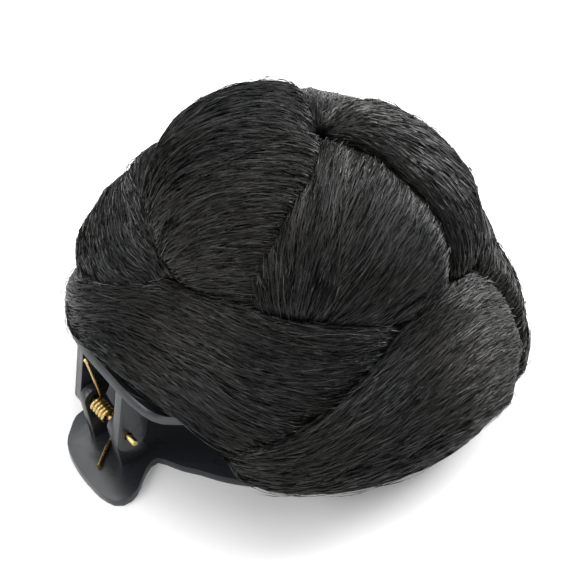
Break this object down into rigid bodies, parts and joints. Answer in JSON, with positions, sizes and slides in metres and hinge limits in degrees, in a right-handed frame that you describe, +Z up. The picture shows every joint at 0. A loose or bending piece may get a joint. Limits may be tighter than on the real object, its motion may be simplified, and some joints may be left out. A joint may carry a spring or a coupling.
{
  "type": "top knot hairpiece on a claw clip",
  "caption": "Hair bun of overlapping smooth locks, a ring round a domed crown, carried on a claw clip with a sprung hinge and interlocking teeth.",
  "frame": {"origin": "middle of the bounding box's base, on the surface the hairpiece lies on", "axes": "+X from the clip's finger tabs towards the far side of the bun, +Y along the hinge pin away from its long end, +Z up"},
  "size_m": [0.1394, 0.1328, 0.0913],
  "materials": {
    "hair": "fine dark fibres with a soft sheen",
    "pad": "matt",
    "clip": "satin",
    "metal": "polished"
  },
  "bodies": {
    "lower_half": {"lower_clip_half": "clip", "torsion_spring": "metal"},
    "bun": {"upper_clip_half": "clip", "hinge_pin": "metal", "bun_pad": "pad", "ring_lock_front_left": "hair", "ring_lock_front_right": "hair", "ring_lock_right": "hair", "ring_lock_left": "hair", "ring_lock_back": "hair", "crown_lock_front": "hair", "crown_lock_right": "hair", "crown_lock_left": "hair", "crown_lock_back": "hair"}
  },
  "joints": [
    {"name": "clip_hinge", "type": "hinge", "parent": "lower_half", "child": "bun", "pos_m": [-0.05809, 0.00869, 0.018], "axis": [0, -1, 0], "range_deg": [0, 35], "stiffness_Nm_per_rad": 0.1, "springref_deg": -85.94, "deforming": ["torsion_spring"]}
  ]
}
